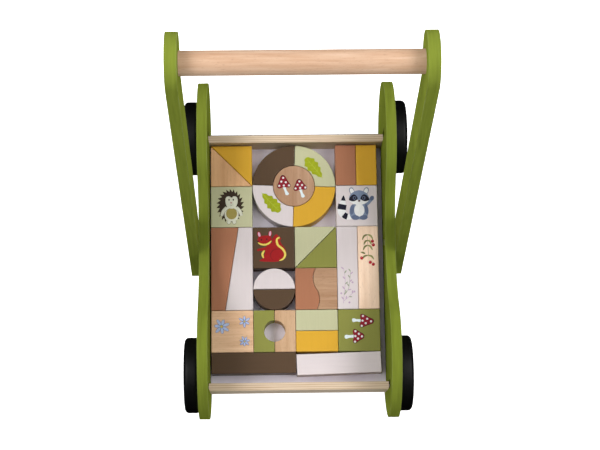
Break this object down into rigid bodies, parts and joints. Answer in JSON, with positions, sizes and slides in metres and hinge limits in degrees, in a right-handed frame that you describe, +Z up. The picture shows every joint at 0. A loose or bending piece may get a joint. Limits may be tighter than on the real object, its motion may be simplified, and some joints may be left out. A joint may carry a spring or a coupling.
{
  "type": "baby walker",
  "caption": "Wooden push-along baby walker: two lobed green side panels hold a tray of loose picture blocks, with a bar handle on leaning arms and rubber-tyred wheels.",
  "frame": {"origin": "on the floor, at the middle of the walker's bounding box", "axes": "+Z up, +Y towards the handle end, +X towards the side that is on the right when seen from the front end"},
  "size_m": [0.2704, 0.402, 0.5377],
  "materials": {
    "green_paint": "satin green paint on board",
    "plywood": "bare plywood, sanded",
    "lilac_board": "matt lilac-grey laminated board",
    "beech": "bare beech, sanded",
    "steel": "zinc-plated steel",
    "wheel_black": "matt black",
    "tyre_black": "soft black rubber, slight sheen",
    "block_natural": "bare wood, sanded",
    "block_yellow": "matt yellow stain",
    "block_dark_brown": "matt dark brown paint",
    "block_light_green": "matt light green paint",
    "block_pale_pink": "matt pinkish white paint",
    "block_terracotta": "matt terracotta paint",
    "block_green": "matt leaf green paint"
  },
  "bodies": {
    "frame": {"left_side_panel": "green_paint", "right_side_panel": "green_paint", "front_board": "plywood", "rear_board": "plywood", "tray_floor": "lilac_board", "left_handle_arm": "green_paint", "right_handle_arm": "green_paint", "handle_bar": "beech", "front_axle": "steel", "rear_axle": "steel", "axle_caps": "steel", "wheel_washers": "steel", "frame_screws": "steel", "arm_bolts": "steel", "arm_nuts": "steel", "handle_screws": "steel"},
    "front_left_wheel": {"front_left_wheel": "wheel_black", "front_left_tyre": "tyre_black"},
    "front_right_wheel": {"front_right_wheel": "wheel_black", "front_right_tyre": "tyre_black"},
    "rear_left_wheel": {"rear_left_wheel": "wheel_black", "rear_left_tyre": "tyre_black"},
    "rear_right_wheel": {"rear_right_wheel": "wheel_black", "rear_right_tyre": "tyre_black"},
    "block_triangle_natural": {"block_triangle_natural": "block_natural"},
    "block_triangle_yellow": {"block_triangle_yellow": "block_yellow"},
    "block_ring_brown": {"block_ring_brown": "block_dark_brown"},
    "block_ring_leaf_green": {"block_ring_leaf_green": "block_light_green"},
    "block_ring_leaf_white": {"block_ring_leaf_white": "block_pale_pink"},
    "block_ring_yellow": {"block_ring_yellow": "block_yellow"},
    "block_disc_mushrooms": {"block_disc_mushrooms": "block_natural"},
    "block_half_terracotta": {"block_half_terracotta": "block_terracotta"},
    "block_half_yellow_rear": {"block_half_yellow_rear": "block_yellow"},
    "block_square_hedgehog": {"block_square_hedgehog": "block_light_green"},
    "block_square_raccoon": {"block_square_raccoon": "block_pale_pink"},
    "block_wedge_terracotta": {"block_wedge_terracotta": "block_terracotta"},
    "block_wedge_white": {"block_wedge_white": "block_pale_pink"},
    "block_square_squirrel": {"block_square_squirrel": "block_dark_brown"},
    "block_triangle_light_green": {"block_triangle_light_green": "block_light_green"},
    "block_triangle_green": {"block_triangle_green": "block_green"},
    "block_tall_sprig": {"block_tall_sprig": "block_pale_pink"},
    "block_tall_berries": {"block_tall_berries": "block_natural"},
    "block_half_disc_white": {"block_half_disc_white": "block_pale_pink"},
    "block_half_disc_brown": {"block_half_disc_brown": "block_dark_brown"},
    "block_wave_terracotta": {"block_wave_terracotta": "block_terracotta"},
    "block_wave_natural": {"block_wave_natural": "block_natural"},
    "block_square_flowers": {"block_square_flowers": "block_natural"},
    "block_arch_green": {"block_arch_green": "block_green"},
    "block_arch_natural": {"block_arch_natural": "block_natural"},
    "block_half_light_green": {"block_half_light_green": "block_light_green"},
    "block_half_yellow_front": {"block_half_yellow_front": "block_yellow"},
    "block_square_mushrooms": {"block_square_mushrooms": "block_green"},
    "block_bar_brown": {"block_bar_brown": "block_dark_brown"},
    "block_bar_white": {"block_bar_white": "block_pale_pink"}
  },
  "joints": [
    {"name": "front_left_wheel_spin", "type": "hinge", "parent": "frame", "child": "front_left_wheel", "pos_m": [-0.1262, -0.1455, 0.045], "axis": [1, 0, 0], "continuous": true},
    {"name": "front_right_wheel_spin", "type": "hinge", "parent": "frame", "child": "front_right_wheel", "pos_m": [0.1262, -0.1455, 0.045], "axis": [1, 0, 0], "continuous": true},
    {"name": "rear_left_wheel_spin", "type": "hinge", "parent": "frame", "child": "rear_left_wheel", "pos_m": [-0.1262, 0.1455, 0.045], "axis": [1, 0, 0], "continuous": true},
    {"name": "rear_right_wheel_spin", "type": "hinge", "parent": "frame", "child": "rear_right_wheel", "pos_m": [0.1262, 0.1455, 0.045], "axis": [1, 0, 0], "continuous": true},
    {"name": "triangle_natural_lift", "type": "slide", "parent": "frame", "child": "block_triangle_natural", "axis": [0, 0, 1], "range_m": [0, 0.04]},
    {"name": "triangle_yellow_lift", "type": "slide", "parent": "frame", "child": "block_triangle_yellow", "axis": [0, 0, 1], "range_m": [0, 0.04]},
    {"name": "ring_brown_lift", "type": "slide", "parent": "frame", "child": "block_ring_brown", "axis": [0, 0, 1], "range_m": [0, 0.04]},
    {"name": "ring_leaf_green_lift", "type": "slide", "parent": "frame", "child": "block_ring_leaf_green", "axis": [0, 0, 1], "range_m": [0, 0.04]},
    {"name": "ring_leaf_white_lift", "type": "slide", "parent": "frame", "child": "block_ring_leaf_white", "axis": [0, 0, 1], "range_m": [0, 0.04]},
    {"name": "ring_yellow_lift", "type": "slide", "parent": "frame", "child": "block_ring_yellow", "axis": [0, 0, 1], "range_m": [0, 0.04]},
    {"name": "disc_mushrooms_lift", "type": "slide", "parent": "frame", "child": "block_disc_mushrooms", "axis": [0, 0, 1], "range_m": [0, 0.04]},
    {"name": "half_terracotta_lift", "type": "slide", "parent": "frame", "child": "block_half_terracotta", "axis": [0, 0, 1], "range_m": [0, 0.04]},
    {"name": "half_yellow_rear_lift", "type": "slide", "parent": "frame", "child": "block_half_yellow_rear", "axis": [0, 0, 1], "range_m": [0, 0.04]},
    {"name": "square_hedgehog_lift", "type": "slide", "parent": "frame", "child": "block_square_hedgehog", "axis": [0, 0, 1], "range_m": [0, 0.04]},
    {"name": "square_raccoon_lift", "type": "slide", "parent": "frame", "child": "block_square_raccoon", "axis": [0, 0, 1], "range_m": [0, 0.04]},
    {"name": "wedge_terracotta_lift", "type": "slide", "parent": "frame", "child": "block_wedge_terracotta", "axis": [0, 0, 1], "range_m": [0, 0.04]},
    {"name": "wedge_white_lift", "type": "slide", "parent": "frame", "child": "block_wedge_white", "axis": [0, 0, 1], "range_m": [0, 0.04]},
    {"name": "square_squirrel_lift", "type": "slide", "parent": "frame", "child": "block_square_squirrel", "axis": [0, 0, 1], "range_m": [0, 0.04]},
    {"name": "triangle_light_green_lift", "type": "slide", "parent": "frame", "child": "block_triangle_light_green", "axis": [0, 0, 1], "range_m": [0, 0.04]},
    {"name": "triangle_green_lift", "type": "slide", "parent": "frame", "child": "block_triangle_green", "axis": [0, 0, 1], "range_m": [0, 0.04]},
    {"name": "tall_sprig_lift", "type": "slide", "parent": "frame", "child": "block_tall_sprig", "axis": [0, 0, 1], "range_m": [0, 0.04]},
    {"name": "tall_berries_lift", "type": "slide", "parent": "frame", "child": "block_tall_berries", "axis": [0, 0, 1], "range_m": [0, 0.04]},
    {"name": "half_disc_white_lift", "type": "slide", "parent": "frame", "child": "block_half_disc_white", "axis": [0, 0, 1], "range_m": [0, 0.04]},
    {"name": "half_disc_brown_lift", "type": "slide", "parent": "frame", "child": "block_half_disc_brown", "axis": [0, 0, 1], "range_m": [0, 0.04]},
    {"name": "wave_terracotta_lift", "type": "slide", "parent": "frame", "child": "block_wave_terracotta", "axis": [0, 0, 1], "range_m": [0, 0.04]},
    {"name": "wave_natural_lift", "type": "slide", "parent": "frame", "child": "block_wave_natural", "axis": [0, 0, 1], "range_m": [0, 0.04]},
    {"name": "square_flowers_lift", "type": "slide", "parent": "frame", "child": "block_square_flowers", "axis": [0, 0, 1], "range_m": [0, 0.04]},
    {"name": "arch_green_lift", "type": "slide", "parent": "frame", "child": "block_arch_green", "axis": [0, 0, 1], "range_m": [0, 0.04]},
    {"name": "arch_natural_lift", "type": "slide", "parent": "frame", "child": "block_arch_natural", "axis": [0, 0, 1], "range_m": [0, 0.04]},
    {"name": "half_light_green_lift", "type": "slide", "parent": "frame", "child": "block_half_light_green", "axis": [0, 0, 1], "range_m": [0, 0.04]},
    {"name": "half_yellow_front_lift", "type": "slide", "parent": "frame", "child": "block_half_yellow_front", "axis": [0, 0, 1], "range_m": [0, 0.04]},
    {"name": "square_mushrooms_lift", "type": "slide", "parent": "frame", "child": "block_square_mushrooms", "axis": [0, 0, 1], "range_m": [0, 0.04]},
    {"name": "bar_brown_lift", "type": "slide", "parent": "frame", "child": "block_bar_brown", "axis": [0, 0, 1], "range_m": [0, 0.04]},
    {"name": "bar_white_lift", "type": "slide", "parent": "frame", "child": "block_bar_white", "axis": [0, 0, 1], "range_m": [0, 0.04]}
  ]
}
